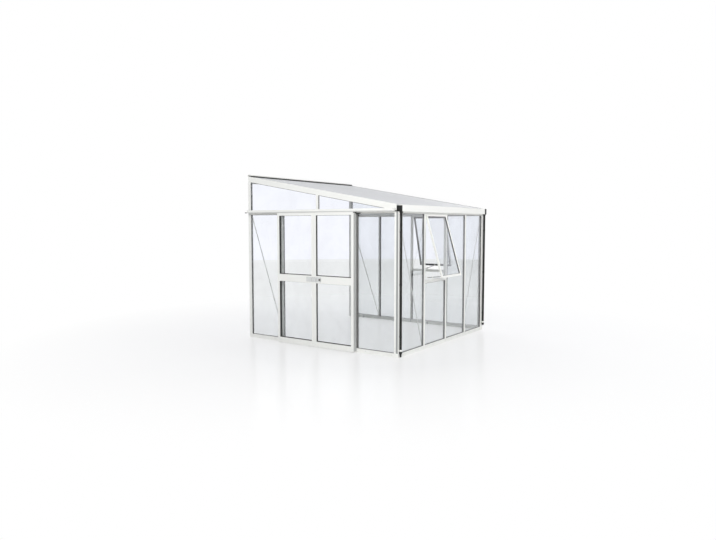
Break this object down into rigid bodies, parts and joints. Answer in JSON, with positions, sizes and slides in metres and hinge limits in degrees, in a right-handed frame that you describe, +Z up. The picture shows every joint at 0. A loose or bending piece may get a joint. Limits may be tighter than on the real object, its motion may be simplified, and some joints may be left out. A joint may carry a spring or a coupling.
{
  "type": "lean_to_greenhouse",
  "caption": "Lean-to greenhouse with a white aluminium frame, clear glass walls, an opal roof, sliding double doors and hinged side vents",
  "frame": {"origin": "on the ground under the middle of the front sill, half its depth behind the eaves wall's face", "axes": "+X along the eaves wall, from the gable with the sliding doors to the gable with the hinged vent; +Y from the eaves wall towards the masonry wall that the greenhouse leans on; +Z up"},
  "size_m": [3.3587, 3.2467, 2.7449],
  "materials": {
    "white_frame": "white powder coat",
    "clear_glass": "clear float glass",
    "opal_sheet": "opal twin-wall polycarbonate",
    "black_plastic": "black moulded plastic",
    "nylon": "natural nylon",
    "dark_metal": "burnished die-cast metal",
    "bare_metal": "galvanised steel"
  },
  "bodies": {
    "house": {"base_frame": "white_frame", "left_corner_post": "white_frame", "right_corner_post": "white_frame", "left_wall_post": "white_frame", "right_wall_post": "white_frame", "eaves_gutter": "white_frame", "wall_plate": "white_frame", "left_rafter": "white_frame", "right_rafter": "white_frame", "roof_bar_1": "white_frame", "roof_bar_2": "white_frame", "roof_bar_3": "white_frame", "left_roof_sheet": "opal_sheet", "right_roof_sheet": "opal_sheet", "front_mullion_1": "white_frame", "front_mullion_2": "white_frame", "front_mullion_3": "white_frame", "front_vent_rail": "white_frame", "door_jamb_rear": "white_frame", "door_jamb_front": "white_frame", "door_track": "white_frame", "door_gable_head_frame": "white_frame", "vent_gable_mullion_1": "white_frame", "vent_gable_mullion_2": "white_frame", "vent_gable_mullion_3": "white_frame", "vent_gable_head_frame": "white_frame", "gable_vent_rail": "white_frame", "front_pane_1": "clear_glass", "front_pane_2": "clear_glass", "front_pane_3": "clear_glass", "front_pane_4": "clear_glass", "door_gable_pane_rear": "clear_glass", "door_gable_pane_front": "clear_glass", "door_gable_top_pane": "clear_glass", "vent_gable_pane_1": "clear_glass", "vent_gable_pane_2": "clear_glass", "vent_gable_pane_3": "clear_glass", "vent_gable_pane_4": "clear_glass", "vent_gable_top_pane": "clear_glass", "left_front_brace": "white_frame", "right_front_brace": "white_frame", "door_gable_brace": "white_frame", "vent_gable_brace": "white_frame", "left_downpipe": "black_plastic", "right_downpipe": "black_plastic"},
    "left_door": {"left_door_frame": "white_frame", "left_door_pane": "clear_glass"},
    "right_door": {"right_door_frame": "white_frame", "right_door_pane": "clear_glass"},
    "left_roller_1": {"left_door_roller_1": "nylon"},
    "left_roller_2": {"left_door_roller_2": "nylon"},
    "right_roller_1": {"right_door_roller_1": "nylon"},
    "right_roller_2": {"right_door_roller_2": "nylon"},
    "lock": {"lock_knob": "dark_metal"},
    "front_vent": {"front_vent_sash": "white_frame", "front_vent_pane": "clear_glass"},
    "front_stay": {"front_vent_stay": "bare_metal"},
    "gable_vent": {"gable_vent_sash": "white_frame", "gable_vent_pane": "clear_glass"},
    "gable_stay": {"gable_vent_stay": "bare_metal"}
  },
  "joints": [
    {"name": "left_door_slide", "type": "slide", "parent": "house", "child": "left_door", "axis": [0, 1, 0], "range_m": [0, 0.68]},
    {"name": "right_door_slide", "type": "slide", "parent": "house", "child": "right_door", "axis": [0, -1, 0], "range_m": [0, 0.68]},
    {"name": "left_roller_1_spin", "type": "hinge", "parent": "left_door", "child": "left_roller_1", "pos_m": [-1.536, 2.1165, 2.1233], "axis": [1, 0, 0], "continuous": true},
    {"name": "left_roller_2_spin", "type": "hinge", "parent": "left_door", "child": "left_roller_2", "pos_m": [-1.536, 1.5465, 2.1233], "axis": [1, 0, 0], "continuous": true},
    {"name": "right_roller_1_spin", "type": "hinge", "parent": "right_door", "child": "right_roller_1", "pos_m": [-1.536, 1.3635, 2.1233], "axis": [1, 0, 0], "continuous": true},
    {"name": "right_roller_2_spin", "type": "hinge", "parent": "right_door", "child": "right_roller_2", "pos_m": [-1.536, 0.7935, 2.1233], "axis": [1, 0, 0], "continuous": true},
    {"name": "lock_turn", "type": "hinge", "parent": "right_door", "child": "lock", "pos_m": [-1.57, 1.3315, 1.065], "axis": [-1, 0, 0], "range_deg": [0, 90]},
    {"name": "front_vent_hinge", "type": "hinge", "parent": "house", "child": "front_vent", "pos_m": [-0.36, -0.006, 2.082], "axis": [-1, 0, 0], "range_deg": [-16.4, 4]},
    {"name": "front_stay_pivot", "type": "hinge", "parent": "front_vent", "child": "front_stay", "pos_m": [-0.36, -0.2734, 1.1204], "axis": [-1, 0, 0], "range_deg": [-2.1, 8.4]},
    {"name": "gable_vent_hinge", "type": "hinge", "parent": "house", "child": "gable_vent", "pos_m": [1.461, 1.085, 2.082], "axis": [0, -1, 0], "range_deg": [-16.4, 4]},
    {"name": "gable_stay_pivot", "type": "hinge", "parent": "gable_vent", "child": "gable_stay", "pos_m": [1.7284, 1.085, 1.1204], "axis": [0, -1, 0], "range_deg": [-2.1, 8.4]}
  ],
  "couplings": [
    {"joint": "left_roller_1_spin", "follows": "left_door_slide", "rad_per_m": -83.333},
    {"joint": "left_roller_2_spin", "follows": "left_door_slide", "rad_per_m": -83.333},
    {"joint": "right_roller_1_spin", "follows": "right_door_slide", "rad_per_m": 83.333},
    {"joint": "right_roller_2_spin", "follows": "right_door_slide", "rad_per_m": 83.333},
    {"joint": "front_stay_pivot", "follows": "front_vent_hinge", "ratio": -0.51},
    {"joint": "gable_stay_pivot", "follows": "gable_vent_hinge", "ratio": -0.51}
  ]
}
